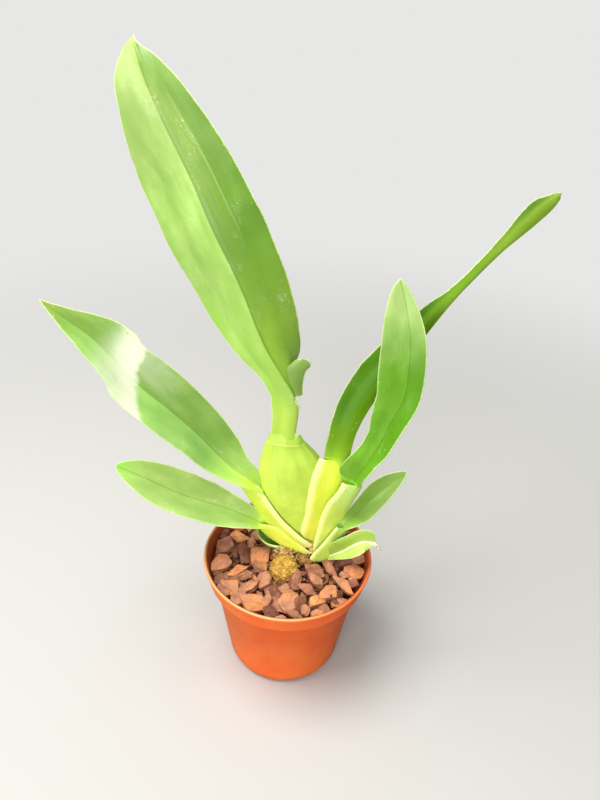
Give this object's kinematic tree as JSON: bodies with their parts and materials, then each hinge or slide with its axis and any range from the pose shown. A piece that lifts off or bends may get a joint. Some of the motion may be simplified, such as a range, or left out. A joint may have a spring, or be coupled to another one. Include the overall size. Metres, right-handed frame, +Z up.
{
  "type": "potted orchid",
  "caption": "Young orchid with a flattened green bulb in a fan of strap leaves, rooted in bark chips in a small terracotta-coloured plastic pot.",
  "frame": {"origin": "centre of the pot's underside, on the plane that the pot stands on", "axes": "+Z up along the pot's axis; the fan of leaves lies along X and shows its face towards -Y"},
  "size_m": [0.1936, 0.08, 0.2753],
  "materials": {
    "terracotta_plastic": "satin",
    "bark_chips": "matte",
    "deep_bark": "matte",
    "plug_foam": "matte",
    "rhizome": "matte",
    "roots": "matte",
    "bulb": "satin",
    "leaves": "satin",
    "bracts": "satin"
  },
  "bodies": {
    "root": {"bark_bed": "deep_bark", "bark_chip_01": "bark_chips", "bark_chip_02": "bark_chips", "bark_chip_03": "bark_chips", "bark_chip_04": "bark_chips", "bark_chip_05": "bark_chips", "bark_chip_06": "bark_chips", "bark_chip_07": "bark_chips", "bark_chip_08": "bark_chips", "bark_chip_09": "bark_chips", "bark_chip_10": "bark_chips", "bark_chip_11": "bark_chips", "bark_chip_12": "bark_chips", "bark_chip_13": "bark_chips", "bark_chip_14": "bark_chips", "bark_chip_15": "bark_chips", "bark_chip_16": "bark_chips", "bark_chip_17": "bark_chips", "bark_chip_18": "bark_chips", "bark_chip_19": "bark_chips", "bark_chip_20": "bark_chips", "bark_chip_21": "bark_chips", "bark_chip_22": "bark_chips", "bark_chip_23": "bark_chips", "bark_chip_24": "bark_chips", "bark_chip_25": "bark_chips", "bark_chip_26": "bark_chips", "bark_chip_27": "bark_chips", "bark_chip_28": "bark_chips", "bract_front_left": "bracts", "bract_right": "bracts", "leaf_left_lower": "leaves", "leaf_left_upper": "leaves", "leaf_right_back": "leaves", "leaf_right_front": "leaves", "leaf_right_low": "leaves", "leaf_top": "leaves", "pot": "terracotta_plastic", "pseudobulb": "bulb", "rhizome": "rhizome", "root_01": "roots", "root_02": "roots", "root_03": "roots", "root_04": "roots", "starter_plug": "plug_foam"}
  },
  "joints": []
}
